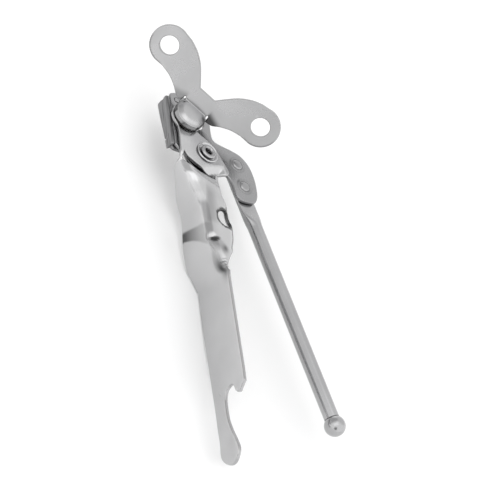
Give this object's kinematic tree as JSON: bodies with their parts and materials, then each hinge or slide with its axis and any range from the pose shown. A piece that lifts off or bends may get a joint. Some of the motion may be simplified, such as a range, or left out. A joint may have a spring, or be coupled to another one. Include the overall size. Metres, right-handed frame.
{
  "type": "manual can opener",
  "caption": "Pliers-style can opener in plated steel: folded sheet handle with cap lifter, round rod handle with ball end, wing key and axle driving a toothed feed wheel beside a cutter.",
  "frame": {"origin": "middle of the bounding box in X and Y, at the lowest point of the opener", "axes": "+Z along the handle pivot and the key axle, key on top; +Y from the handles to the head; +X towards the rod handle"},
  "size_m": [0.0842, 0.179, 0.0416],
  "materials": {
    "plated_frame": "bright plated pressed sheet, softly mirrored, faint handling marks",
    "plated_lever": "bright plated pressed sheet, a little darker",
    "plated_rod": "bright plated drawn rod with fine lengthwise draw lines",
    "plated_key": "bright plated blanked sheet with rounded edges",
    "ground_steel": "ground and hardened, with lengthwise grinding lines",
    "hardened_steel": "hardened turned steel, lightly oiled"
  },
  "bodies": {
    "frame": {"frame_handle": "plated_frame", "pivot_eyelet": "plated_frame", "pivot_top_washer": "plated_frame", "pivot_back_washer": "plated_frame", "axle_bush": "hardened_steel"},
    "lever": {"lever_plate": "plated_lever", "cutter_blade": "ground_steel", "cutter_rivet_front": "plated_lever", "cutter_rivet_rear": "plated_lever", "rod_handle": "plated_rod", "rod_rivet_upper": "plated_lever", "rod_rivet_lower": "plated_lever", "ball_knob": "plated_rod"},
    "key": {"wing_key": "plated_key", "spring_washer": "hardened_steel", "drive_axle": "hardened_steel", "spacer_collar": "hardened_steel", "thrust_washer": "hardened_steel", "feed_wheel": "hardened_steel", "wheel_washer": "hardened_steel"}
  },
  "joints": [
    {"name": "lever_pivot", "type": "hinge", "parent": "frame", "child": "lever", "pos_m": [-0.01123, 0.04612, 0.02007], "axis": [0, 0, 1], "range_deg": [-3, 20]},
    {"name": "key_spin", "type": "hinge", "parent": "frame", "child": "key", "pos_m": [-0.01933, 0.06121, 0.02007], "axis": [0, 0, 1], "continuous": true}
  ]
}
